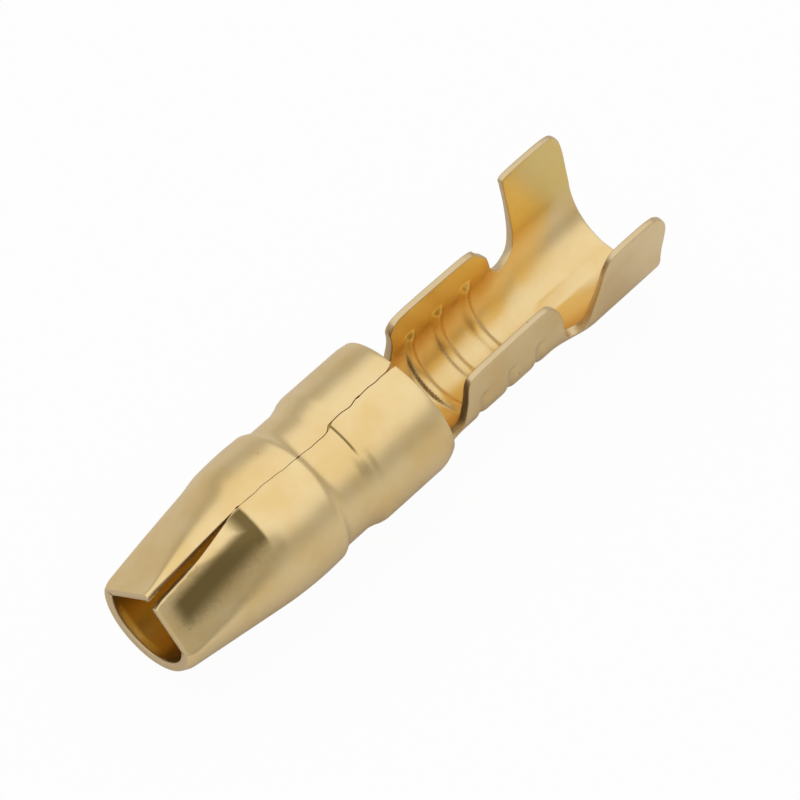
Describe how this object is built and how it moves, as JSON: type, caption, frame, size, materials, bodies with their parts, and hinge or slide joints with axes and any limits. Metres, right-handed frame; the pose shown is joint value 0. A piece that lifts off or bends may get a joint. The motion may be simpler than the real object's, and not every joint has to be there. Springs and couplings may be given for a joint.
{
  "type": "bullet crimp terminal",
  "caption": "Rolled brass male bullet terminal with a snap groove and an open-barrel crimp for a stranded wire and its insulation.",
  "frame": {"origin": "centre of the box's underside, on the surface that the terminal lies on", "axes": "+X along the bullet's axis from the tip to the wire end, +Z from the floor of the crimp to its open side and the seam"},
  "size_m": [0.0174, 0.004, 0.0042],
  "materials": {
    "brass": "satin, as stamped"
  },
  "bodies": {
    "root": {"bullet_terminal": "brass"}
  },
  "joints": []
}
